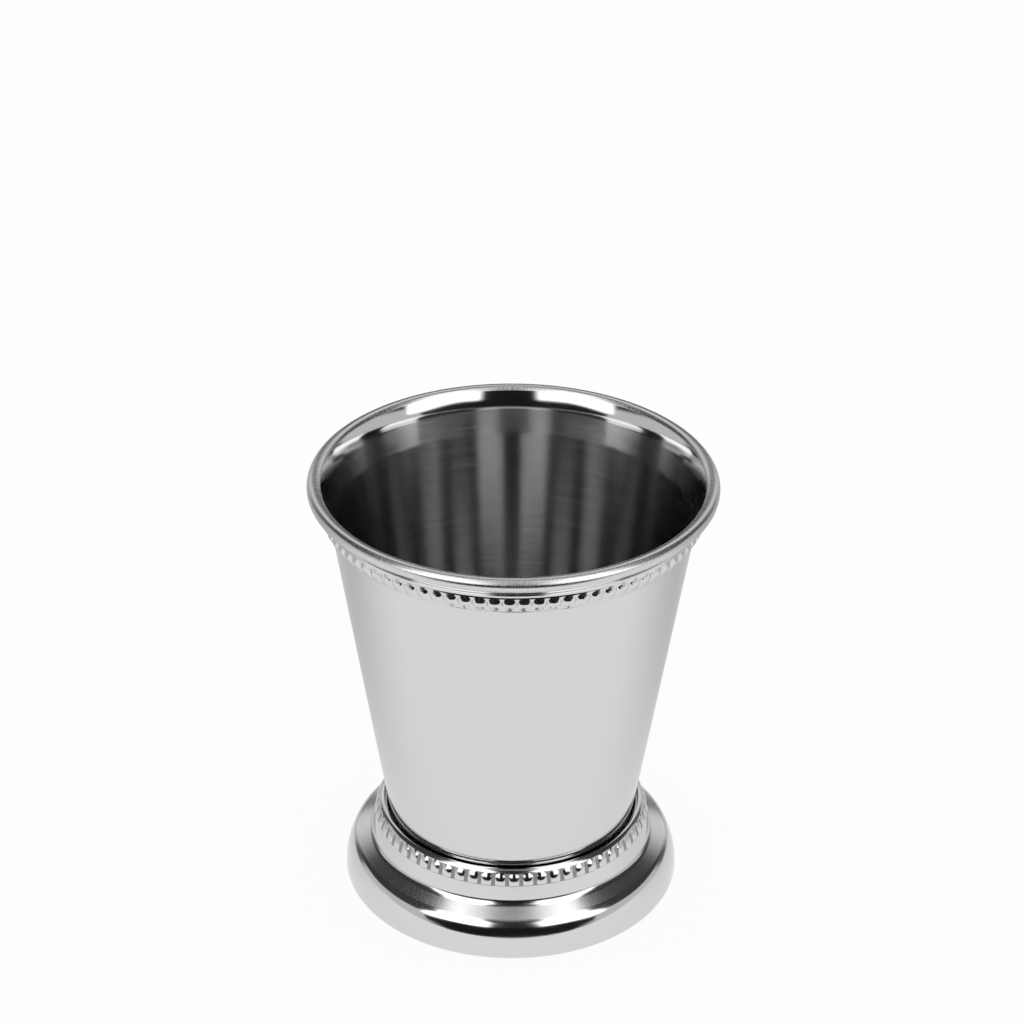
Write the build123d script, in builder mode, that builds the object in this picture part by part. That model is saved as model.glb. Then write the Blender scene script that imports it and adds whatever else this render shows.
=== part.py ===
"""Footed julep cup of polished sheet steel, in millimetres.

Z is the cup's axis and points up. The origin is the centre of the foot's base.
Every piece is a ring round Z, so each is drawn as a section in the XZ plane and revolved.
A sheet's two faces share their arc centres: a face is drawn by its depth below the outside face.
"""

import os
from math import asin, atan2, cos, degrees, hypot, pi, radians, sin, sqrt, tan

from build123d import *

os.makedirs("parts", exist_ok=True)

# Overall sizes
overall_height = 100.0
rim_diameter = 88.0
foot_diameter = 74.5

# Cup body: a floor, a tapered wall, a straight band, a flared mouth and a rolled lip, spun from one sheet
body_sheet = 0.8
floor_height = 17.2
floor_diameter = 54.8
floor_corner_radius = 1.6
flare_width = 4.9
flare_height = 10.2
flare_offset = 0.49
band_bend_radius = 10.0
lip_roll_diameter = 3.1
lip_roll_opening = 85.0

# Foot: a seat, a crest, a tapered neck, a ledge, a bold roll and a turned-in hem, spun from one sheet
foot_sheet = 0.7
seat_hole_diameter = 34.0
seat_fillet = 1.0
crest_offset = 1.05
crest_rise = 0.9
crest_round = 1.0
neck_angle = 16.0
neck_fillet = 2.2
ledge_slope = 30.0
roll_side_radius = 14.0
roll_side_turn = 26.8
roll_shoulder_radius = 3.4
hem_bend_radius = 1.25
hem_width = 2.5

# Beaded strips, rows of lobes between grooves: one on the band under the lip, one over the foot's crest
strip_sheet = 0.4
bead_pitch = 3.03
groove_width = 0.6
rim_strip_height = 4.6
rim_strip_margin = 0.2
rim_strip_crown = 1.1
rim_groove_depth = 0.9
rim_bead_start = -90.9
foot_strip_skirt = 2.73
foot_strip_wrap = 75.0
foot_groove_angle = 25.0
foot_groove_depth = 0.3
foot_bead_start = -88.5

# Soldered joints
solder_film = 0.1
seat_solder_film = 0.15
seat_solder_margin = 0.5


def polar(centre, radius, angle):
    """The point at an angle, in radians, on a circle in a section."""
    return (centre[0] + radius * cos(angle), centre[1] + radius * sin(angle))


# Body section: centres and angles
floor_radius = floor_diameter / 2
mouth_radius = rim_diameter / 2 - flare_width
flare_start = overall_height - flare_height
wall_angle = atan2(mouth_radius - floor_radius, flare_start - floor_height)
corner_reach = floor_corner_radius * tan(radians(45) - wall_angle / 2)
corner_centre = (floor_radius - corner_reach, floor_height + floor_corner_radius)
lip_roll_radius = lip_roll_diameter / 2
lip_centre = (rim_diameter / 2 - lip_roll_radius, overall_height - lip_roll_radius)
lip_bore = lip_roll_radius - body_sheet

# The band carries the rim's strip. Its line passes the lip's bore by the flare's offset
to_lip = (lip_centre[0] - mouth_radius, lip_centre[1] - flare_start)
band_tilt = atan2(*to_lip) - asin((lip_bore + flare_offset) / hypot(*to_lip))

# A slight bend leads from the wall into the band
bend_reach = band_bend_radius * tan(abs(band_tilt - wall_angle) / 2)
bend_start = polar((mouth_radius, flare_start), -bend_reach, pi / 2 - wall_angle)
bend_end = polar((mouth_radius, flare_start), bend_reach, pi / 2 - band_tilt)
band_end = polar(bend_end, rim_strip_height + 2 * rim_strip_margin, pi / 2 - band_tilt)

# The flare is the one arc that runs on from the band and into the lip's roll
to_band = (band_end[0] - lip_centre[0], band_end[1] - lip_centre[1])
flare_radius = (hypot(*to_band) ** 2 - lip_bore**2) / (2 * flare_offset)
flare_centre = polar(band_end, flare_radius, -band_tilt)
flare_end = atan2(lip_centre[1] - flare_centre[1], flare_centre[0] - lip_centre[0])
lip_roll_turn = 360 - lip_roll_opening

# Foot section: centres and corners
foot_radius = foot_diameter / 2
neck_tilt = radians(neck_angle)
seat_height = floor_height - seat_solder_film
crest_centre = (floor_radius + crest_offset, seat_height + crest_rise - crest_round)
seat_fillet_height = seat_height + seat_fillet
seat_fillet_gap = sqrt((crest_round + seat_fillet) ** 2 - (seat_fillet_height - crest_centre[1]) ** 2)
seat_fillet_centre = (crest_centre[0] - seat_fillet_gap, seat_fillet_height)
crest_bearing = degrees(atan2(crest_centre[1] - seat_fillet_height, seat_fillet_gap))

ledge_normal = radians(90 - ledge_slope)
side_turn = radians(roll_side_turn)
side_centre = (foot_radius - roll_side_radius, hem_bend_radius)
shoulder_centre = polar(side_centre, roll_side_radius - roll_shoulder_radius, side_turn)

# The neck's fillet touches the neck's line and the ledge's line from outside
neck_reach = crest_round + neck_fillet
ledge_reach = roll_shoulder_radius + neck_fillet
neck_side = crest_centre[0] * cos(neck_tilt) + crest_centre[1] * sin(neck_tilt) + neck_reach
ledge_side = shoulder_centre[0] * cos(ledge_normal) + shoulder_centre[1] * sin(ledge_normal) + ledge_reach
fillet_spread = sin(ledge_normal - neck_tilt)
neck_fillet_centre = (
    (neck_side * sin(ledge_normal) - ledge_side * sin(neck_tilt)) / fillet_spread,
    (ledge_side * cos(neck_tilt) - neck_side * cos(ledge_normal)) / fillet_spread,
)

# Strip sections: the edges of each strip on the sheet that it covers
strip_outside = solder_film + strip_sheet
rim_strip_low = polar(bend_end, rim_strip_margin, pi / 2 - band_tilt)
rim_strip_high = polar(rim_strip_low, rim_strip_height, pi / 2 - band_tilt)
rim_strip_middle = polar(rim_strip_low, rim_strip_height / 2, pi / 2 - band_tilt)
rim_strip_top = polar(rim_strip_middle, strip_outside + rim_strip_crown, -band_tilt)
crest_outside = polar(crest_centre, crest_round, neck_tilt)
foot_strip_low = polar(crest_outside, foot_strip_skirt, neck_tilt - pi / 2)

# Pitch lines, along the middle of each strip's thickness
strip_core = solder_film + strip_sheet / 2
rim_pitch_radius = polar(rim_strip_middle, strip_core, -band_tilt)[0]
foot_pitch_radius = polar(crest_centre, crest_round + strip_core, neck_tilt)[0]

# Groove floors: a middle point and the angle of the way out of the groove
rim_groove_floor = polar(rim_strip_top, -rim_groove_depth, -band_tilt)
foot_groove_out = radians(foot_groove_angle)
foot_groove_floor = polar(crest_centre, crest_round + strip_outside - foot_groove_depth, foot_groove_out)


def body_face(depth):
    """One face of the body's sheet, from the axis to the free end of the lip's roll."""
    corner_radius = floor_corner_radius - depth
    Line((0, floor_height + depth), (corner_centre[0], floor_height + depth))
    CenterArc(corner_centre, corner_radius, -90, 90 - degrees(wall_angle))
    wall_foot = polar(corner_centre, corner_radius, -wall_angle)
    wall_top = polar(bend_start, -depth, -wall_angle)
    band_foot = polar(bend_end, -depth, -band_tilt)
    Line(wall_foot, wall_top)
    TangentArc(wall_top, band_foot, tangent=(sin(wall_angle), cos(wall_angle)))
    Line(band_foot, polar(band_end, -depth, -band_tilt))
    flare_turn = degrees(band_tilt - flare_end)
    CenterArc(flare_centre, flare_radius + depth, 180 - degrees(band_tilt), flare_turn)
    CenterArc(lip_centre, lip_bore + depth, 180 - degrees(flare_end), -lip_roll_turn)


def foot_face(depth):
    """One face of the foot's sheet, from the hole in the seat to the free edge of the hem."""
    seat_level = seat_height - depth
    Line((seat_hole_diameter / 2, seat_level), (seat_fillet_centre[0], seat_level))
    CenterArc(seat_fillet_centre, seat_fillet + depth, -90, 90 + crest_bearing)
    crest_turn = neck_angle - 180 - crest_bearing
    CenterArc(crest_centre, crest_round - depth, 180 + crest_bearing, crest_turn)
    neck_top = polar(crest_centre, crest_round - depth, neck_tilt)
    neck_foot = polar(neck_fillet_centre, -neck_fillet - depth, neck_tilt)
    Line(neck_top, neck_foot)
    neck_turn = 90 - ledge_slope - neck_angle
    CenterArc(neck_fillet_centre, neck_fillet + depth, 180 + neck_angle, neck_turn)
    ledge_top = polar(neck_fillet_centre, -neck_fillet - depth, ledge_normal)
    ledge_foot = polar(shoulder_centre, roll_shoulder_radius - depth, ledge_normal)
    Line(ledge_top, ledge_foot)
    shoulder_turn = roll_side_turn - 90 + ledge_slope
    CenterArc(shoulder_centre, roll_shoulder_radius - depth, 90 - ledge_slope, shoulder_turn)
    CenterArc(side_centre, roll_side_radius - depth, roll_side_turn, -roll_side_turn)
    hem_centre = (foot_radius - hem_bend_radius, hem_bend_radius)
    CenterArc(hem_centre, hem_bend_radius - depth, 0, -90)
    Line((hem_centre[0], depth), (hem_centre[0] - hem_width, depth))


def rim_strip_face(height):
    """A face of the rim's strip, a height above the band."""
    Line(*rim_strip_ends(height))


def foot_strip_face(height):
    """A face of the foot's strip, a height above the neck and the crest."""
    strip_top = polar(crest_centre, crest_round + height, neck_tilt)
    Line(polar(foot_strip_low, height, neck_tilt), strip_top)
    CenterArc(crest_centre, crest_round + height, neck_angle, foot_strip_wrap - neck_angle)


def close_ends(near_depth, far_depth, points_at):
    """The two short edges that close a section drawn as two faces."""
    for near, far in zip(points_at(near_depth), points_at(far_depth)):
        Line(near, far)


def body_ends(depth):
    """The ends of the body's face: on the axis and at the lip."""
    lip_end = pi - flare_end - radians(lip_roll_turn)
    return [(0, floor_height + depth), polar(lip_centre, lip_bore + depth, lip_end)]


def foot_ends(depth):
    """The ends of the foot's face: at the seat's hole and at the hem."""
    hem_end = foot_radius - hem_bend_radius - hem_width
    return [(seat_hole_diameter / 2, seat_height - depth), (hem_end, depth)]


def rim_strip_ends(height):
    """The lower and upper edges of a face of the rim's strip."""
    return [polar(edge, height, -band_tilt) for edge in (rim_strip_low, rim_strip_high)]


def foot_strip_ends(height):
    """The lower and upper edges of a face of the foot's strip."""
    wrap = radians(foot_strip_wrap)
    return [polar(foot_strip_low, height, neck_tilt), polar(crest_centre, crest_round + height, wrap)]


# Cup body
with BuildPart() as cup_body:
    with BuildSketch(Plane.XZ):
        with BuildLine():
            body_face(0)
            body_face(body_sheet)
            close_ends(0, body_sheet, body_ends)
        make_face()
    revolve(axis=Axis.Z)

cup_body.part.label = "cup_body"
export_step(cup_body.part, "parts/cup_body.step")

# Foot
with BuildPart() as foot:
    with BuildSketch(Plane.XZ):
        with BuildLine():
            foot_face(0)
            foot_face(foot_sheet)
            close_ends(0, foot_sheet, foot_ends)
        make_face()
    revolve(axis=Axis.Z)

foot.part.label = "foot"
export_step(foot.part, "parts/foot.step")

# Solder between the body's floor and the foot's seat
with BuildPart() as seat_solder:
    with BuildSketch(Plane.XY.offset(seat_height)):
        Circle(corner_centre[0] - seat_solder_margin)
        Circle(seat_hole_diameter / 2 + seat_solder_margin, mode=Mode.SUBTRACT)
    extrude(amount=seat_solder_film)

seat_solder.part.label = "seat_solder"
export_step(seat_solder.part, "parts/seat_solder.step")

# Solder behind the rim's strip
with BuildPart() as rim_strip_solder:
    with BuildSketch(Plane.XZ):
        with BuildLine():
            rim_strip_face(0)
            rim_strip_face(solder_film)
            close_ends(0, solder_film, rim_strip_ends)
        make_face()
    revolve(axis=Axis.Z)

rim_strip_solder.part.label = "rim_strip_solder"
export_step(rim_strip_solder.part, "parts/rim_strip_solder.step")

# Solder behind the foot's strip
with BuildPart() as foot_strip_solder:
    with BuildSketch(Plane.XZ):
        with BuildLine():
            foot_strip_face(0)
            foot_strip_face(solder_film)
            close_ends(0, solder_film, foot_strip_ends)
        make_face()
    revolve(axis=Axis.Z)

foot_strip_solder.part.label = "foot_strip_solder"
export_step(foot_strip_solder.part, "parts/foot_strip_solder.step")


def groove_bearings(pitch_radius, bead_start):
    """Bearings of the grooves round a ring: as many as the pitch gives, halfway between the beads."""
    count = round(2 * pi * pitch_radius / bead_pitch)
    return PolarLocations(0, count, start_angle=bead_start + 180 / count)


def groove_at(floor_point, way_out, length):
    """A straight groove that opens the way out from its floor, an angle above level in the section."""
    floor_plane = Plane(
        origin=(floor_point[0], 0, floor_point[1]),
        x_dir=(-sin(way_out), 0, cos(way_out)),
        z_dir=(cos(way_out), 0, sin(way_out)),
    )
    with BuildPart() as groove:
        with BuildSketch(floor_plane):
            Rectangle(length, groove_width)
        extrude(amount=length)
    return groove.part


# Beaded strip under the lip
rim_groove = groove_at(rim_groove_floor, -band_tilt, 2 * rim_strip_height)
with BuildPart() as rim_bead_strip:
    with BuildSketch(Plane.XZ):
        with BuildLine():
            rim_low, rim_high = rim_strip_ends(strip_outside)
            rim_strip_face(solder_film)
            ThreePointArc(rim_low, rim_strip_top, rim_high)
            close_ends(solder_film, strip_outside, rim_strip_ends)
        make_face()
    revolve(axis=Axis.Z)
    with groove_bearings(rim_pitch_radius, rim_bead_start):
        add(rim_groove, mode=Mode.SUBTRACT)

rim_bead_strip.part.label = "rim_bead_strip"
export_step(rim_bead_strip.part, "parts/rim_bead_strip.step")

# Beaded strip over the foot's crest
foot_groove = groove_at(foot_groove_floor, foot_groove_out, 2 * foot_strip_skirt)
with BuildPart() as foot_bead_strip:
    with BuildSketch(Plane.XZ):
        with BuildLine():
            foot_strip_face(solder_film)
            foot_strip_face(strip_outside)
            close_ends(solder_film, strip_outside, foot_strip_ends)
        make_face()
    revolve(axis=Axis.Z)
    with groove_bearings(foot_pitch_radius, foot_bead_start):
        add(foot_groove, mode=Mode.SUBTRACT)

foot_bead_strip.part.label = "foot_bead_strip"
export_step(foot_bead_strip.part, "parts/foot_bead_strip.step")
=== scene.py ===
"""Footed julep cup of polished sheet steel: its dressed model, studio and camera.

Sections are drawn in millimetres in the XZ plane and turned about Z into meshes in metres.
"""

from math import asin, atan2, ceil, cos, degrees, hypot, pi, radians, sin, sqrt, tan

import bpy
from mathutils import Matrix, Vector


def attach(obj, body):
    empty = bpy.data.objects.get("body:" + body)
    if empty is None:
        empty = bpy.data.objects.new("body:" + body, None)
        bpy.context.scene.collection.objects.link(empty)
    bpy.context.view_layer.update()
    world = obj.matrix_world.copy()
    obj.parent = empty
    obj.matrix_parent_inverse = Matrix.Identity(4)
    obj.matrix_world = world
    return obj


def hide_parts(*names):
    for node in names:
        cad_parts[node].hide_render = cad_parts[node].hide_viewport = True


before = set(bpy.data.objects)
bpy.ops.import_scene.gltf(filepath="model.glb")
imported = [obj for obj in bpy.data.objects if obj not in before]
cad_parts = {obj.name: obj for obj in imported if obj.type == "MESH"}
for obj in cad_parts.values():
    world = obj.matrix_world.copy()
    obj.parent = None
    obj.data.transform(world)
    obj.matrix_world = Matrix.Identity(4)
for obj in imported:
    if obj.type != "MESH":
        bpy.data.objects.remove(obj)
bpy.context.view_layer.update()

MM = 0.001

# Meshes: steps round the axis, degrees in a step of an arc, steps round a lobe, and the axis's reach
TURN_STEPS = 288
ARC_STEP = 4.0
FEWEST_ARC_STEPS = 3
BEAD_STEPS = 16
ON_AXIS = 1e-9

# Sizes of the solids, in millimetres and degrees
overall_height = 100.0
rim_diameter = 88.0
foot_diameter = 74.5
body_sheet = 0.8
floor_height = 17.2
floor_diameter = 54.8
floor_corner_radius = 1.6
flare_width = 4.9
flare_height = 10.2
flare_offset = 0.49
band_bend_radius = 10.0
lip_roll_diameter = 3.1
lip_roll_opening = 85.0
foot_sheet = 0.7
seat_hole_diameter = 34.0
seat_fillet = 1.0
crest_offset = 1.05
crest_rise = 0.9
crest_round = 1.0
neck_angle = 16.0
neck_fillet = 2.2
ledge_slope = 30.0
roll_side_radius = 14.0
roll_side_turn = 26.8
roll_shoulder_radius = 3.4
hem_bend_radius = 1.25
hem_width = 2.5
strip_sheet = 0.4
bead_pitch = 3.03
rim_strip_height = 4.6
rim_strip_margin = 0.2
rim_strip_crown = 1.1
rim_groove_depth = 0.9
rim_bead_start = -90.9
foot_strip_skirt = 2.73
foot_strip_wrap = 75.0
foot_bead_start = -88.5
solder_film = 0.1
seat_solder_film = 0.15

# Rounded lobes of the rim's strip, which has plain grooves in the solids
rim_low_slope = 0.38
rim_high_slope = 0.704
rim_top_margin = 0.4
rim_ridge_rounding = 0.4
rim_lobe_crown = 0.2
rim_crown_share = 0.3
rim_groove_share = 0.42
rim_groove_half = 0.42

# Rounded lobes of the foot's strip
foot_margin_step = 0.08
foot_swell = 0.18
foot_swell_drop = 1.3
foot_swell_angle = 18.0
foot_end_radius = 0.4
foot_end_turn = 66.0
foot_face_radius = 4.7
foot_face_start = 6.0
foot_face_end = 45.0
foot_crest_radius = 1.3
foot_crest_end = 80.0
foot_groove_angle = 14.0
foot_groove_floor_drop = 2.4
foot_groove_floor_rise = 0.2
foot_groove_half = 0.42
foot_groove_power = 4
foot_lobe_crown = 0.22
# Painted shade in the foot's grooves: how far from a groove's middle, and from what height over its
# floor, the darker steel goes
foot_dull_shade_half = 0.36
dull_shade_from_height = 0.1

# Camera, as the photograph was taken
camera_place = (0.0, -612.83, 440.01)
camera_pitch = 29.644
camera_yaw = -0.026
camera_roll = 0.414
camera_focal_pixels = 3295.0
image_pixels = 1024.0
sensor_width = 36.0


def polar(centre, radius, angle):
    """The point at an angle, in radians, on a circle in a section."""
    return (centre[0] + radius * cos(angle), centre[1] + radius * sin(angle))


# Body section: centres and angles
floor_radius = floor_diameter / 2
mouth_radius = rim_diameter / 2 - flare_width
flare_start = overall_height - flare_height
wall_angle = atan2(mouth_radius - floor_radius, flare_start - floor_height)
corner_reach = floor_corner_radius * tan(radians(45) - wall_angle / 2)
corner_centre = (floor_radius - corner_reach, floor_height + floor_corner_radius)
lip_roll_radius = lip_roll_diameter / 2
lip_centre = (rim_diameter / 2 - lip_roll_radius, overall_height - lip_roll_radius)
lip_bore = lip_roll_radius - body_sheet
to_lip = (lip_centre[0] - mouth_radius, lip_centre[1] - flare_start)
band_tilt = atan2(*to_lip) - asin((lip_bore + flare_offset) / hypot(*to_lip))
bend_reach = band_bend_radius * tan((band_tilt - wall_angle) / 2)
bend_start = polar((mouth_radius, flare_start), -bend_reach, pi / 2 - wall_angle)
bend_centre = polar(bend_start, band_bend_radius, -wall_angle)
bend_end = polar((mouth_radius, flare_start), bend_reach, pi / 2 - band_tilt)
band_end = polar(bend_end, rim_strip_height + 2 * rim_strip_margin, pi / 2 - band_tilt)
to_band = (band_end[0] - lip_centre[0], band_end[1] - lip_centre[1])
flare_radius = (hypot(*to_band) ** 2 - lip_bore**2) / (2 * flare_offset)
flare_centre = polar(band_end, flare_radius, -band_tilt)
flare_end = atan2(lip_centre[1] - flare_centre[1], flare_centre[0] - lip_centre[0])
lip_roll_turn = 360 - lip_roll_opening

# Foot section: centres and corners
foot_radius = foot_diameter / 2
neck_tilt = radians(neck_angle)
seat_height = floor_height - seat_solder_film
crest_centre = (floor_radius + crest_offset, seat_height + crest_rise - crest_round)
seat_fillet_height = seat_height + seat_fillet
seat_fillet_drop = seat_fillet_height - crest_centre[1]
seat_fillet_gap = sqrt((crest_round + seat_fillet) ** 2 - seat_fillet_drop**2)
seat_fillet_centre = (crest_centre[0] - seat_fillet_gap, seat_fillet_height)
crest_bearing = degrees(atan2(crest_centre[1] - seat_fillet_height, seat_fillet_gap))
ledge_normal = radians(90 - ledge_slope)
side_centre = (foot_radius - roll_side_radius, hem_bend_radius)
shoulder_reach = roll_side_radius - roll_shoulder_radius
shoulder_centre = polar(side_centre, shoulder_reach, radians(roll_side_turn))
neck_side = crest_centre[0] * cos(neck_tilt) + crest_centre[1] * sin(neck_tilt)
neck_side += crest_round + neck_fillet
ledge_side = shoulder_centre[0] * cos(ledge_normal) + shoulder_centre[1] * sin(ledge_normal)
ledge_side += roll_shoulder_radius + neck_fillet
fillet_spread = sin(ledge_normal - neck_tilt)
neck_fillet_centre = (
    (neck_side * sin(ledge_normal) - ledge_side * sin(neck_tilt)) / fillet_spread,
    (ledge_side * cos(neck_tilt) - neck_side * cos(ledge_normal)) / fillet_spread,
)

# Strip sections: edges, pitch lines, lobe centres and groove floors
strip_outside = solder_film + strip_sheet
strip_core = solder_film + strip_sheet / 2
rim_strip_low = polar(bend_end, rim_strip_margin, pi / 2 - band_tilt)
rim_strip_high = polar(rim_strip_low, rim_strip_height, pi / 2 - band_tilt)
rim_strip_middle = polar(rim_strip_low, rim_strip_height / 2, pi / 2 - band_tilt)
rim_strip_top = polar(rim_strip_middle, strip_outside + rim_strip_crown, -band_tilt)
rim_pitch_radius = polar(rim_strip_middle, strip_core, -band_tilt)[0]
rim_groove_floor = polar(rim_strip_top, -rim_groove_depth, -band_tilt)
crest_outside = polar(crest_centre, crest_round, neck_tilt)
foot_strip_low = polar(crest_outside, foot_strip_skirt, neck_tilt - pi / 2)
foot_pitch_radius = polar(crest_centre, crest_round + strip_core, neck_tilt)[0]
foot_swell_foot = polar(crest_outside, foot_swell_drop, neck_tilt - pi / 2)
foot_swell_top = polar(foot_swell_foot, strip_outside + foot_swell, neck_tilt)
foot_face_centre = polar(foot_swell_top, -foot_face_radius, radians(foot_swell_angle))
foot_crest_reach = foot_face_radius - foot_crest_radius
foot_crest_centre = polar(foot_face_centre, foot_crest_reach, radians(foot_face_end))
foot_floor_foot = polar(crest_outside, foot_groove_floor_drop, neck_tilt - pi / 2)
foot_groove_floor = polar(foot_floor_foot, foot_groove_floor_rise, neck_tilt)


# Runs of a section: each is a list of points with the normals to the right of the way along it
def line(start, end, steps=1):
    """A straight run."""
    reach = hypot(end[0] - start[0], end[1] - start[1])
    normal = ((end[1] - start[1]) / reach, (start[0] - end[0]) / reach)
    run = []
    for step in range(steps + 1):
        share = step / steps
        point = (start[0] + (end[0] - start[0]) * share, start[1] + (end[1] - start[1]) * share)
        run.append((point, normal))
    return run


def arc(centre, radius, start, turn):
    """A round run, from an angle through a turn, in degrees."""
    steps = max(FEWEST_ARC_STEPS, ceil(abs(turn) / ARC_STEP))
    side = 1 if turn > 0 else -1
    run = []
    for step in range(steps + 1):
        angle = radians(start + turn * step / steps)
        run.append((polar(centre, radius, angle), (side * cos(angle), side * sin(angle))))
    return run


def back(runs):
    """The same runs the other way, with their normals turned over."""
    return [
        [(point, (-normal[0], -normal[1])) for point, normal in reversed(run)]
        for run in reversed(runs)
    ]


def sheet_section(first, last):
    """A section of a sheet: along the first face, over the edge, and back along the last one."""
    edge = line(first[-1][-1][0], last[-1][-1][0])
    return first + [edge] + back(last)


def body_face(depth):
    """One face of the body's sheet, from the axis to the free end of the lip's roll."""
    corner_radius = floor_corner_radius - depth
    wall_foot = polar(corner_centre, corner_radius, -wall_angle)
    wall_top = polar(bend_start, -depth, -wall_angle)
    band_foot = polar(bend_end, -depth, -band_tilt)
    band_top = polar(band_end, -depth, -band_tilt)
    bend_turn = degrees(wall_angle - band_tilt)
    flare_turn = degrees(band_tilt - flare_end)
    return [
        line((0, floor_height + depth), (corner_centre[0], floor_height + depth), steps=4),
        arc(corner_centre, corner_radius, -90, 90 - degrees(wall_angle)),
        line(wall_foot, wall_top, steps=8),
        arc(bend_centre, band_bend_radius + depth, 180 - degrees(wall_angle), bend_turn),
        line(band_foot, band_top, steps=2),
        arc(flare_centre, flare_radius + depth, 180 - degrees(band_tilt), flare_turn),
        arc(lip_centre, lip_bore + depth, 180 - degrees(flare_end), -lip_roll_turn),
    ]


# Its runs where the finish changes
body_band_run = 4
body_lip_run = 6


def foot_face(depth):
    """One face of the foot's sheet, from the hole in the seat to the free edge of the hem."""
    seat_level = seat_height - depth
    hem_centre = (foot_radius - hem_bend_radius, hem_bend_radius)
    neck_top = polar(crest_centre, crest_round - depth, neck_tilt)
    neck_foot = polar(neck_fillet_centre, -neck_fillet - depth, neck_tilt)
    ledge_top = polar(neck_fillet_centre, -neck_fillet - depth, ledge_normal)
    ledge_foot = polar(shoulder_centre, roll_shoulder_radius - depth, ledge_normal)
    crest_turn = neck_angle - 180 - crest_bearing
    neck_turn = 90 - ledge_slope - neck_angle
    shoulder_turn = roll_side_turn - 90 + ledge_slope
    return [
        line((seat_hole_diameter / 2, seat_level), (seat_fillet_centre[0], seat_level), steps=2),
        arc(seat_fillet_centre, seat_fillet + depth, -90, 90 + crest_bearing),
        arc(crest_centre, crest_round - depth, 180 + crest_bearing, crest_turn),
        line(neck_top, neck_foot, steps=2),
        arc(neck_fillet_centre, neck_fillet + depth, 180 + neck_angle, neck_turn),
        line(ledge_top, ledge_foot, steps=2),
        arc(shoulder_centre, roll_shoulder_radius - depth, 90 - ledge_slope, shoulder_turn),
        arc(side_centre, roll_side_radius - depth, roll_side_turn, -roll_side_turn),
        arc(hem_centre, hem_bend_radius - depth, 0, -90),
        line((hem_centre[0], depth), (hem_centre[0] - hem_width, depth), steps=2),
    ]


# Its runs with finishes of their own
foot_neck_bend_run = 4
foot_ledge_run = 5
foot_shoulder_run = 6


# Outlines of the strips, along the tops of their lobes
def rim_strip_outline(steps=34):
    """The strip under the lip: a rounded ridge between two slopes, with a plain margin above."""
    points = []
    for step in range(steps + 1):
        along = rim_strip_height * step / steps
        low_side = rim_low_slope * along
        high_side = rim_high_slope * (rim_strip_height - rim_top_margin - along)
        rise = (low_side + high_side - hypot(low_side - high_side, rim_ridge_rounding)) / 2
        foot = polar(rim_strip_low, along, pi / 2 - band_tilt)
        points.append(polar(foot, strip_outside + max(rise, 0), -band_tilt))
    return points


def foot_strip_outline(margin_steps=3, end_steps=8, face_steps=26, crest_steps=12):
    """The strip on the foot, from its lower edge: a thin margin, a round end, a face and a crest."""
    points = []
    for step in range(margin_steps):
        drop = foot_strip_skirt - foot_margin_step * step
        foot = polar(crest_outside, drop, neck_tilt - pi / 2)
        points.append(polar(foot, foot_groove_floor_rise, neck_tilt))
    end_reach = foot_face_radius - foot_end_radius
    end_centre = polar(foot_face_centre, end_reach, radians(foot_face_start))
    for step in range(end_steps):
        angle = foot_face_start - foot_end_turn * (1 - step / end_steps)
        points.append(polar(end_centre, foot_end_radius, radians(angle)))
    for step in range(face_steps + 1):
        angle = foot_face_start + (foot_face_end - foot_face_start) * step / face_steps
        points.append(polar(foot_face_centre, foot_face_radius, radians(angle)))
    for step in range(crest_steps):
        angle = foot_face_end + (foot_crest_end - foot_face_end) * (step + 1) / crest_steps
        points.append(polar(foot_crest_centre, foot_crest_radius, radians(angle)))
    return points


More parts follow.
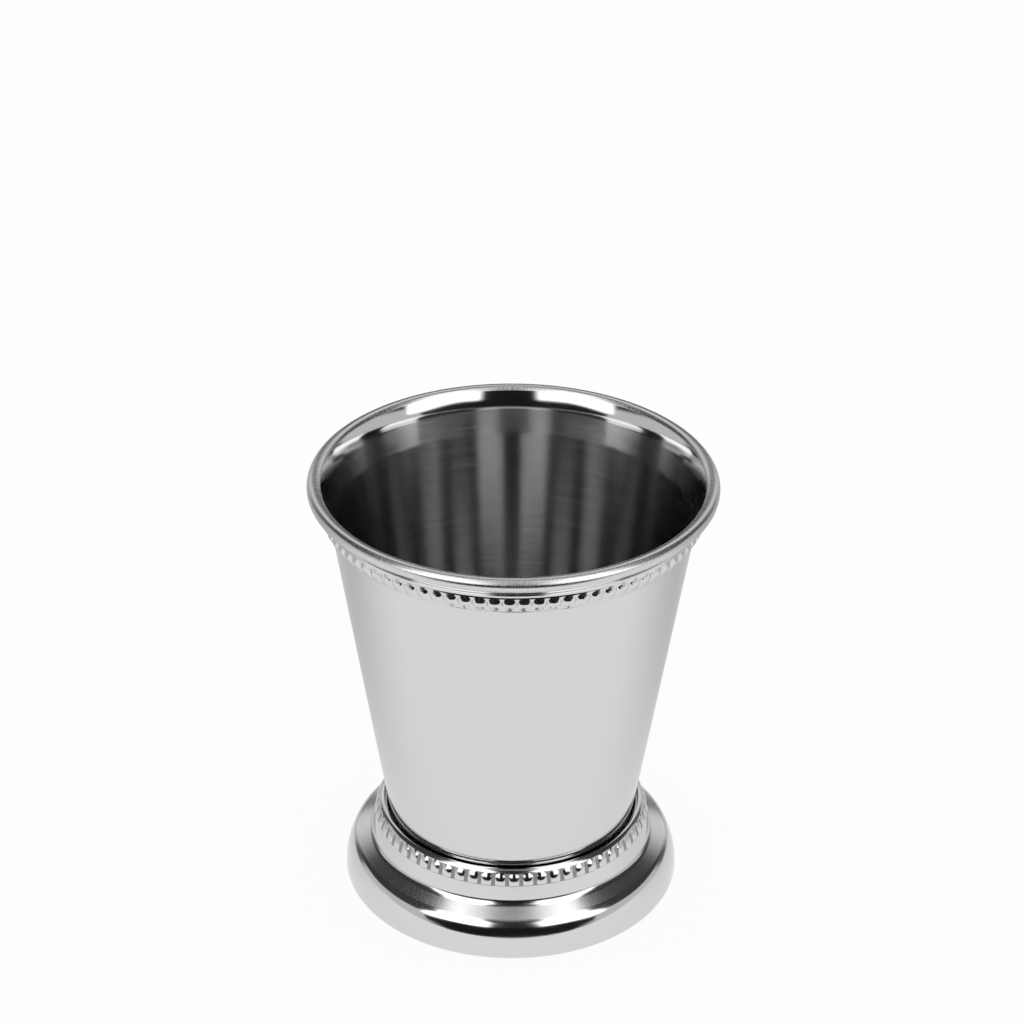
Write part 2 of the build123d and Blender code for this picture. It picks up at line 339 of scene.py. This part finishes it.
# Meshes: vertices, faces with their corner normals, and a material number for each face
class Mesh:
    def __init__(self):
        self.vertices = []
        self.faces = []
        self.normals = []
        self.finishes = []

    def add_face(self, corners, normals, finish):
        self.faces.append(corners)
        self.normals.extend(normals)
        self.finishes.append(finish)

    def turn(self, runs, finish_of, closed):
        """Adds a section turned about Z. A closed one ends where it starts."""
        angles = [2 * pi * step / TURN_STEPS for step in range(TURN_STEPS)]
        turns = [(cos(angle), sin(angle)) for angle in angles]
        first_ring = None
        ring = None
        for number, run in enumerate(runs):
            for place, (point, normal) in enumerate(run):
                last_point = closed and number == len(runs) - 1 and place == len(run) - 1
                if ring is None or place > 0:
                    here = first_ring if last_point else self.add_ring(point, turns)
                    first_ring = first_ring or here
                    if ring is not None:
                        before = run[place - 1][1]
                        self.join_rings(ring, here, before, normal, turns, finish_of(number))
                    ring = here

    def add_ring(self, point, turns):
        """A ring of vertices, or a single one on the axis."""
        start = len(self.vertices)
        for c, s in turns if point[0] > ON_AXIS else turns[:1]:
            self.vertices.append((point[0] * c * MM, point[0] * s * MM, point[1] * MM))
        return range(start, len(self.vertices))

    def join_rings(self, low, high, low_normal, high_normal, turns, finish):
        """The faces between two rings, seen from outside."""
        for step in range(TURN_STEPS):
            after = (step + 1) % TURN_STEPS
            corners = []
            normals = []
            for ring, normal, place in (
                (low, low_normal, step),
                (low, low_normal, after),
                (high, high_normal, after),
                (high, high_normal, step),
            ):
                vertex = ring[place % len(ring)]
                if vertex not in corners:
                    c, s = turns[place]
                    corners.append(vertex)
                    normals.append((normal[0] * c, normal[0] * s, normal[1]))
            self.add_face(corners, normals, finish)

    def add_grid(self, rows, finish_of):
        """Adds rows of places round the axis, lowest first, with smooth normals."""
        count = len(rows[0])
        numbers = []
        for row in rows:
            start = len(self.vertices)
            self.vertices.extend(place * MM for place in row)
            numbers.append(range(start, start + count))
        normals = []
        for number, row in enumerate(rows):
            above = rows[min(number + 1, len(rows) - 1)]
            below = rows[max(number - 1, 0)]
            row_normals = []
            for step in range(count):
                around = row[(step + 1) % count] - row[step - 1]
                row_normals.append(around.cross(above[step] - below[step]).normalized())
            normals.append(row_normals)
        for number in range(len(rows) - 1):
            for step in range(count):
                after = (step + 1) % count
                spots = ((number, step), (number, after), (number + 1, after), (number + 1, step))
                face = [numbers[row][column] for row, column in spots]
                face_normals = [normals[row][column] for row, column in spots]
                self.add_face(face, face_normals, finish_of(number, step))

    def place(self, name, materials, node, slot):
        """Makes the mesh an object that stands for its node."""
        mesh = bpy.data.meshes.new(name)
        mesh.from_pydata(self.vertices, [], self.faces)
        for material in materials:
            mesh.materials.append(material)
        mesh.polygons.foreach_set("material_index", self.finishes)
        mesh.polygons.foreach_set("use_smooth", [True] * len(self.faces))
        mesh.normals_split_custom_set([Vector(normal).normalized() for normal in self.normals])
        piece = bpy.data.objects.new(name, mesh)
        bpy.context.collection.objects.link(piece)
        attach(piece, "root")
        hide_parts(node)


# Materials
steel_colour = (0.635, 0.635, 0.635, 1)
# The inside's colour is darker than the outside's: painted shade inside the cup
inside_shade_colour = (0.5, 0.5, 0.5, 1)
# The grooves' colour is darker than the steel's: painted shade in the creases between lobes
groove_shade_colour = (0.32, 0.32, 0.32, 1)
solder_colour = (0.5, 0.49, 0.47, 1)
noise_low = 0.3
noise_high = 0.7


def add_node(material, kind, values=None, **settings):
    """A new node with its settings, and values on its sockets by their names or numbers."""
    node = material.node_tree.nodes.new(kind)
    for key, setting in settings.items():
        setattr(node, key, setting)
    for socket, value in (values or {}).items():
        node.inputs[socket].default_value = value
    return node


def link(material, source, target):
    material.node_tree.links.new(source, target)


def empty_material(name):
    """A new node material without a shader, and the socket for its surface."""
    material = bpy.data.materials.new(name)
    material.use_nodes = True
    material.node_tree.nodes.clear()
    output = add_node(material, "ShaderNodeOutputMaterial")
    return material, output.inputs["Surface"]


def metal(name, colour):
    """A new metal and its shader."""
    material, surface = empty_material(name)
    values = {"Base Color": colour, "Metallic": 1.0}
    shader = add_node(material, "ShaderNodeBsdfPrincipled", values)
    link(material, shader.outputs["BSDF"], surface)
    return material, shader


def object_place(material):
    """Coordinates in the object, in metres."""
    return add_node(material, "ShaderNodeTexCoord").outputs["Object"]


def turned_place(material, around, along):
    """Coordinates round the axis: the angle in radians, the radius and height in metres, all scaled."""
    place = object_place(material)
    split = add_node(material, "ShaderNodeSeparateXYZ")
    link(material, place, split.inputs[0])
    angle = add_node(material, "ShaderNodeMath", operation="ARCTAN2")
    link(material, split.outputs["Y"], angle.inputs[0])
    link(material, split.outputs["X"], angle.inputs[1])
    flat = add_node(material, "ShaderNodeVectorMath", {1: (1, 1, 0)}, operation="MULTIPLY")
    link(material, place, flat.inputs[0])
    reach = add_node(material, "ShaderNodeVectorMath", operation="LENGTH")
    link(material, flat.outputs[0], reach.inputs[0])
    join = add_node(material, "ShaderNodeCombineXYZ")
    link(material, angle.outputs[0], join.inputs["X"])
    link(material, reach.outputs["Value"], join.inputs["Y"])
    link(material, split.outputs["Z"], join.inputs["Z"])
    scales = {1: (around, along, along)}
    scale = add_node(material, "ShaderNodeVectorMath", scales, operation="MULTIPLY")
    link(material, join.outputs[0], scale.inputs[0])
    return scale.outputs[0]


def noise(material, place, scale, detail, roughness=0.5):
    """Noise at a place, mostly between noise_low and noise_high."""
    values = {"Scale": scale, "Detail": detail, "Roughness": roughness}
    node = add_node(material, "ShaderNodeTexNoise", values)
    link(material, place, node.inputs["Vector"])
    return node.outputs["Fac"]


def spread(material, value, low, high):
    """The usual values of a noise, spread from low to high."""
    values = {"From Min": noise_low, "From Max": noise_high, "To Min": low, "To Max": high}
    node = add_node(material, "ShaderNodeMapRange", values)
    link(material, value, node.inputs["Value"])
    return node.outputs["Result"]


def bump(material, value, strength, depth):
    """Normals bumped by a value, to a depth in millimetres."""
    node = add_node(material, "ShaderNodeBump", {"Strength": strength, "Distance": depth * MM})
    link(material, value, node.inputs["Height"])
    return node.outputs["Normal"]


def stretch_gloss(material, shader, amount, rotation):
    """Draws reflections out one way, at a share of a turn from the way round the axis."""
    shader.inputs["Anisotropic"].default_value = amount
    shader.inputs["Anisotropic Rotation"].default_value = rotation
    tangent = add_node(material, "ShaderNodeTangent", direction_type="RADIAL", axis="Z")
    link(material, tangent.outputs[0], shader.inputs["Tangent"])


def polished_steel(name, low, high):
    """Buffed steel: a mirror with soft cloudy patches of gloss and faint marks round the axis."""
    material, shader = metal(name, steel_colour)
    clouds = noise(material, object_place(material), scale=90.0, detail=3.0)
    link(material, spread(material, clouds, low, high), shader.inputs["Roughness"])
    turned = turned_place(material, around=14.0, along=3500.0)
    marks = noise(material, turned, scale=1.0, detail=2.0)
    link(material, bump(material, marks, strength=0.05, depth=0.01), shader.inputs["Normal"])
    return material


def grained_steel(name, low, high):
    """Hand-finished steel: short fine marks across the edge that draw reflections out round it."""
    material, shader = metal(name, steel_colour)
    stretch_gloss(material, shader, amount=0.55, rotation=0.0)
    turned = turned_place(material, around=380.0, along=300.0)
    marks = noise(material, turned, scale=1.0, detail=3.0, roughness=0.6)
    link(material, spread(material, marks, low, high), shader.inputs["Roughness"])
    link(material, bump(material, marks, strength=0.1, depth=0.01), shader.inputs["Normal"])
    return material


def groove_shade_metal(name, low, high):
    """The grooves between the foot's lobes: rough and uneven, on a darker colour that is painted shade.
    """
    material, shader = metal(name, groove_shade_colour)
    stains = noise(material, object_place(material), scale=1200.0, detail=4.0)
    link(material, spread(material, stains, low, high), shader.inputs["Roughness"])
    return material


def turned_steel(name, low, high):
    """The cup's inside: fine turned lines that draw reflections out along the wall, on a darker colour
    that is painted shade.
    """
    material, shader = metal(name, inside_shade_colour)
    stretch_gloss(material, shader, amount=0.9, rotation=0.25)
    turned = turned_place(material, around=3.0, along=2600.0)
    lines = noise(material, turned, scale=1.0, detail=4.0, roughness=0.6)
    link(material, spread(material, lines, low, high), shader.inputs["Roughness"])
    link(material, bump(material, lines, strength=0.025, depth=0.02), shader.inputs["Normal"])
    return material


def solder_metal(name, low, high):
    """Silver solder: dull, with small lumps."""
    material, shader = metal(name, solder_colour)
    lumps = noise(material, object_place(material), scale=900.0, detail=4.0)
    link(material, spread(material, lumps, low, high), shader.inputs["Roughness"])
    link(material, bump(material, lumps, strength=0.3, depth=0.05), shader.inputs["Normal"])
    return material


# Finishes, each with its lowest and highest roughness
outside_steel = polished_steel("polished_steel", low=0.06, high=0.1)
bead_steel = polished_steel("bead_steel", low=0.1, high=0.15)
# Painted shade: the foot's grooves get a darker, rougher steel
shaded_groove_finish = groove_shade_metal("groove_shade_metal", low=0.3, high=0.45)
lip_steel = grained_steel("lip_steel", low=0.2, high=0.34)
ledge_steel = grained_steel("ledge_steel", low=0.13, high=0.22)
shaded_inside_steel = turned_steel("turned_steel", low=0.11, high=0.17)
solder = solder_metal("solder", low=0.35, high=0.55)

# Cup body: polished outside and on the flare, turned inside from the band down, grained on the lip; the
# inside is darker with painted shade
body_runs = sheet_section(body_face(0), body_face(body_sheet))
body_last_run = len(body_runs) - 1
body_lip_runs = (body_lip_run, body_last_run - body_lip_run)
body_inside_from = body_last_run - body_band_run
body_steels = [outside_steel, shaded_inside_steel, lip_steel]


def body_finish(number):
    """The number of a run's finish in body_steels."""
    if number in body_lip_runs:
        return body_steels.index(lip_steel)
    return body_steels.index(shaded_inside_steel if number >= body_inside_from else outside_steel)


body_mesh = Mesh()
body_mesh.turn(body_runs, body_finish, closed=False)
body_mesh.place("cup_body_steel", body_steels, "cup_body", "steel")

# Foot: polished, with a grained ledge between two bends that shine less
foot_runs = sheet_section(foot_face(0), foot_face(foot_sheet))
foot_runs.append(line(foot_runs[-1][-1][0], foot_runs[0][0][0]))
foot_steels = [outside_steel, ledge_steel, bead_steel]
foot_finishes = {
    foot_neck_bend_run: bead_steel,
    foot_ledge_run: ledge_steel,
    foot_shoulder_run: bead_steel,
}


def foot_finish(number):
    """The number of a run's finish in foot_steels."""
    return foot_steels.index(foot_finishes.get(number, outside_steel))


foot_mesh = Mesh()
foot_mesh.turn(foot_runs, foot_finish, closed=True)
foot_mesh.place("foot_steel", foot_steels, "foot", "steel")

# Strips: lobes are measured across from -1 to 1, from one groove's middle to the next
strip_steels = [bead_steel, shaded_groove_finish]
BRIGHT = 0
# Faces in the foot's grooves take the dull, darker steel: painted shade
DULL_SHADE = 1


def lobe_across(step):
    """How far across a lobe a step is. The steps are closer at the grooves."""
    return sin(pi / 2 * (2 * step / BEAD_STEPS - 1))


def from_groove(across):
    """The distance from the middle of the nearest groove."""
    return (1 - abs(across)) * bead_pitch / 2


def rim_fall(across, above):
    """How far a rim lobe falls from its outline, so far above the grooves' floor: crown and groove."""
    groove = (1 + cos(pi * min(from_groove(across) / rim_groove_half, 1))) / 2
    share = rim_crown_share * across**2 + rim_groove_share * groove
    return min(above * share + rim_lobe_crown * across**2, above)


def foot_fall(across, above):
    """The same for a lobe of the foot: a round crown, then a groove down to the floor."""
    crown_end = 1 - 2 * foot_groove_half / bead_pitch
    crown = foot_lobe_crown * (across / crown_end) ** 2
    climb = (from_groove(across) / foot_groove_half) ** foot_groove_power
    return min(max(crown, above - foot_lobe_crown * climb), above)


def lobed_strip(name, node, outline, inner_ends, pitch_radius, bead_start, groove, fall_of, dull_shade_half):
    """A strip pressed into lobes. The grooves between them are dull and painted darker, as shade, as far
    as dull_shade_half from the middle.

    The groove is a point on its floor and the angle of the way out of it, in a section.
    """
    floor_point, way_out = groove
    out = (cos(way_out), sin(way_out))
    count = round(2 * pi * pitch_radius / bead_pitch)
    columns = []
    for bead in range(count):
        for step in range(BEAD_STEPS):
            across = lobe_across(step)
            bearing = radians(bead_start) + 2 * pi * (bead + across / 2) / count
            columns.append((cos(bearing), sin(bearing), across))
    rows = []
    heights = []
    for point in outline:
        above = (point[0] - floor_point[0]) * out[0] + (point[1] - floor_point[1]) * out[1]
        above = max(above, 0)
        row = []
        for c, s, across in columns:
            fall = fall_of(across, above)
            reach = point[0] - out[0] * fall
            row.append(Vector((reach * c, reach * s, point[1] - out[1] * fall)))
        rows.append(row)
        heights.append(above)

    def finish_of(row, column):
        step = column % BEAD_STEPS
        middle = (lobe_across(step) + lobe_across(step + 1)) / 2
        # Groove faces high enough over the floor get the dull, darker steel: painted shade
        dull = from_groove(middle) < dull_shade_half and heights[row] > dull_shade_from_height
        return DULL_SHADE if dull else BRIGHT

    mesh = Mesh()
    mesh.add_grid(rows, finish_of)
    low_edge, high_edge = (
        [Vector((end[0] * c, end[0] * s, end[1])) for c, s, across in columns]
        for end in inner_ends
    )
    for pair in ([low_edge, rows[0]], [rows[-1], high_edge], [high_edge, low_edge]):
        mesh.add_grid(pair, lambda row, column: BRIGHT)
    mesh.place(name, strip_steels, node, "bead_steel")


lobed_strip(
    "rim_beads",
    "rim_bead_strip",
    rim_strip_outline(),
    inner_ends=[polar(edge, solder_film, -band_tilt) for edge in (rim_strip_low, rim_strip_high)],
    pitch_radius=rim_pitch_radius,
    bead_start=rim_bead_start,
    groove=(rim_groove_floor, -band_tilt),
    fall_of=rim_fall,
    dull_shade_half=0,
)
lobed_strip(
    "foot_beads",
    "foot_bead_strip",
    foot_strip_outline(),
    inner_ends=[
        polar(foot_strip_low, solder_film, neck_tilt),
        polar(crest_centre, crest_round + solder_film, radians(foot_strip_wrap)),
    ],
    pitch_radius=foot_pitch_radius,
    bead_start=foot_bead_start,
    groove=(foot_groove_floor, radians(foot_groove_angle)),
    fall_of=foot_fall,
    dull_shade_half=foot_dull_shade_half,
)

# Solder films keep their solids
for node in ("seat_solder", "rim_strip_solder", "foot_strip_solder"):
    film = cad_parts[node]
    film.data.materials.clear()
    film.data.materials.append(solder)

# Table, in metres. Its glow fades along Y in the metal alone: painted shade in the table's reflection
table_half = 4.0
table_colour = (0.8, 0.8, 0.8, 1)
table_white_share = 0.93
table_fade_start = -0.05
table_fade_end = 0.09
table_light_front = 1.03
table_light_behind = 0.62

# Dark floor in front of the table, in metres
dark_floor_light = 0.02
dark_floor_lift = 0.001
dark_floor_near = -0.3
dark_floor_near_half = 0.26
dark_floor_far = -2.3
dark_floor_far_half = 1.9

# Room round the table: light strengths, with sides and heights in degrees from the front and the table
room_radius = 2.5
room_step = 1
dim_light = 0.012
dim_gain = 0.04
dim_gain_sides = (40, 70)
box_light = 2.2
box_left_sides = (14, 62)
box_right_sides = (20, 67)
box_side_blur = 3
box_inner_lean = 28
box_outer_lean = 44
box_lean_heights = (45, 82)
box_foot_front = 17
box_foot_drop = 7
box_foot_drop_sides = (30, 62)
box_foot_blur = 2.5
box_top_loss = 0.75
box_top_heights = (66, 86)
overhead_light = 0.4
overhead_heights = (58, 80)
wall_light = 0.7
wall_sides = (40, 60)
wall_top_front = 3
wall_top_rise = 15
wall_top_rise_sides = (54, 64)
wall_blur_below = 1.5
wall_blur_above = 3
wall_back_loss = 0.8
wall_back_sides = (114, 124)
backdrop_light = 0.9
backdrop_sides = (128, 146)
backdrop_foot_rise = 36
backdrop_foot_rise_sides = (148, 168)
backdrop_foot_blur = 4
backdrop_top_heights = (60, 68)


def stage_mesh(name, vertices, faces, material):
    """A plain surface that isn't part of the object."""
    mesh = bpy.data.meshes.new(name)
    mesh.from_pydata(vertices, [], faces)
    mesh.materials.append(material)
    surface = bpy.data.objects.new(name, mesh)
    bpy.context.collection.objects.link(surface)
    return surface


def metal_only(surface):
    """Hides a surface from everything but reflections."""
    surface.visible_camera = False
    surface.visible_diffuse = False
    surface.visible_shadow = False


def mix_shaders(material, first, second, by=None, share=0.5):
    """A mix from the first shader to the second, by a socket or a fixed share."""
    node = add_node(material, "ShaderNodeMixShader", {0: share})
    if by is not None:
        link(material, by, node.inputs[0])
    link(material, first, node.inputs[1])
    link(material, second, node.inputs[2])
    return node.outputs[0]


def table_material():
    """A white table: white to the camera, less the object's shadow, and in the metal a glow that fades
    behind, as painted shade.
    """
    material, surface = empty_material("white_table")
    table = add_node(material, "ShaderNodeBsdfDiffuse", {"Color": table_colour}).outputs[0]
    white = add_node(material, "ShaderNodeEmission", {"Strength": 1.0}).outputs[0]
    split = add_node(material, "ShaderNodeSeparateXYZ")
    link(material, object_place(material), split.inputs[0])
    values = {
        "From Min": table_fade_start,
        "From Max": table_fade_end,
        "To Min": table_light_front,
        "To Max": table_light_behind,
    }
    fade = add_node(material, "ShaderNodeMapRange", values, interpolation_type="SMOOTHSTEP")
    link(material, split.outputs["Y"], fade.inputs["Value"])
    mirrored = add_node(material, "ShaderNodeEmission")
    link(material, fade.outputs["Result"], mirrored.inputs["Strength"])
    path = add_node(material, "ShaderNodeLightPath").outputs
    to_metal = mix_shaders(material, table, mirrored.outputs[0], by=path["Is Glossy Ray"])
    to_camera = mix_shaders(material, table, white, share=table_white_share)
    seen = mix_shaders(material, to_metal, to_camera, by=path["Is Camera Ray"])
    link(material, seen, surface)
    return material


def glow_material(name):
    """A material that only gives light, and its light's node."""
    material, surface = empty_material(name)
    glow = add_node(material, "ShaderNodeEmission")
    link(material, glow.outputs[0], surface)
    return material, glow


one_face = [(0, 1, 2, 3)]
table_corners = [
    (-table_half, -table_half, 0),
    (table_half, -table_half, 0),
    (table_half, table_half, 0),
    (-table_half, table_half, 0),
]
stage_mesh("table", table_corners, one_face, table_material())

# The white table ends in front, and the metal shows the dark floor beyond it
dark_floor, dark_glow = glow_material("dark_floor")
dark_glow.inputs["Strength"].default_value = dark_floor_light
dark_corners = [
    (-dark_floor_far_half, dark_floor_far, dark_floor_lift),
    (dark_floor_far_half, dark_floor_far, dark_floor_lift),
    (dark_floor_near_half, dark_floor_near, dark_floor_lift),
    (-dark_floor_near_half, dark_floor_near, dark_floor_lift),
]
metal_only(stage_mesh("front_floor", dark_corners, one_face, dark_floor))


def ease(value, start, end):
    """0 before the start, 1 after the end, and smooth between."""
    share = min(max((value - start) / (end - start), 0), 1)
    return share * share * (3 - 2 * share)


def ease_about(value, edge, blur):
    """The same, from as far before an edge to as far after it."""
    return ease(value, edge - blur, edge + blur)


def room_light(bearing, height):
    """Light from a way round the table, in degrees. Bearing 0 is the camera's side, and 90 is +X."""
    side = abs(bearing)
    dim = dim_light + dim_gain * ease(side, *dim_gain_sides)

    lean = ease(height, *box_lean_heights)
    inner, outer = box_right_sides if bearing > 0 else box_left_sides
    inner += box_inner_lean * lean
    outer += box_outer_lean * lean
    box_foot = box_foot_front - box_foot_drop * ease(side, *box_foot_drop_sides)
    box_width = ease_about(side, inner, box_side_blur) * (1 - ease_about(side, outer, box_side_blur))
    box_top = 1 - box_top_loss * ease(height, *box_top_heights)
    box = box_light * box_width * (ease_about(height, box_foot, box_foot_blur) * box_top)

    overhead = overhead_light * ease(height, *overhead_heights)

    wall_top = wall_top_front + wall_top_rise * ease(side, *wall_top_rise_sides)
    wall_height = 1 - ease(height, wall_top - wall_blur_below, wall_top + wall_blur_above)
    wall_width = (1 - wall_back_loss * ease(side, *wall_back_sides)) * ease(side, *wall_sides)
    walls = wall_light * wall_height * wall_width

    backdrop_foot = backdrop_foot_rise * ease(side, *backdrop_foot_rise_sides)
    backdrop_top = 1 - ease(height, *backdrop_top_heights)
    backdrop_height = ease_about(height, backdrop_foot, backdrop_foot_blur) * backdrop_top
    backdrop = backdrop_light * ease(side, *backdrop_sides) * backdrop_height

    return max(dim, box, overhead, walls, backdrop)


def add_room(radius, step):
    """A dome of soft boxes, dim walls and backdrop that only the metal sees. Its step is in degrees."""
    sides = 360 // step
    rings = 90 // step
    vertices = []
    lights = []
    for ring in range(rings + 1):
        height = ring * step
        level = radius * cos(radians(height))
        for side in range(sides):
            bearing = side * step - 180
            x = level * sin(radians(bearing))
            y = -level * cos(radians(bearing))
            vertices.append((x, y, radius * sin(radians(height))))
            lights.append(room_light(bearing, height))
    faces = []
    for ring in range(rings):
        for side in range(sides):
            low = ring * sides + side
            low_after = ring * sides + (side + 1) % sides
            faces.append((low, low_after, low_after + sides, low + sides))
    painted, glow = glow_material("studio_room")
    light = add_node(painted, "ShaderNodeAttribute", attribute_name="light")
    link(painted, light.outputs["Fac"], glow.inputs["Strength"])
    room = stage_mesh("room", vertices, faces, painted)
    room.data.attributes.new("light", "FLOAT", "POINT").data.foreach_set("value", lights)
    metal_only(room)


add_room(room_radius, room_step)

world = bpy.data.worlds.new("white_world")
world.use_nodes = True
background = world.node_tree.nodes["Background"]
background.inputs["Color"].default_value = (1, 1, 1, 1)
background.inputs["Strength"].default_value = 1.0
bpy.context.scene.world = world


def add_camera():
    """The photograph's camera: its roll turns the picture about the line of sight."""
    yaw, pitch, roll = (radians(angle) for angle in (camera_yaw, camera_pitch, camera_roll))
    forward = Vector((sin(yaw) * cos(pitch), cos(yaw) * cos(pitch), -sin(pitch)))
    level = Vector((cos(yaw), -sin(yaw), 0))
    upright = level.cross(forward)
    right = level * cos(roll) + upright * sin(roll)
    up = upright * cos(roll) - level * sin(roll)
    data = bpy.data.cameras.new("camera")
    data.sensor_width = sensor_width
    data.lens = sensor_width * camera_focal_pixels / image_pixels
    camera = bpy.data.objects.new("camera", data)
    axes = Matrix((right, up, -forward)).transposed().to_4x4()
    camera.matrix_world = Matrix.Translation(Vector(camera_place) * MM) @ axes
    bpy.context.collection.objects.link(camera)
    bpy.context.scene.camera = camera


add_camera()
bpy.context.scene.view_settings.view_transform = "Standard"
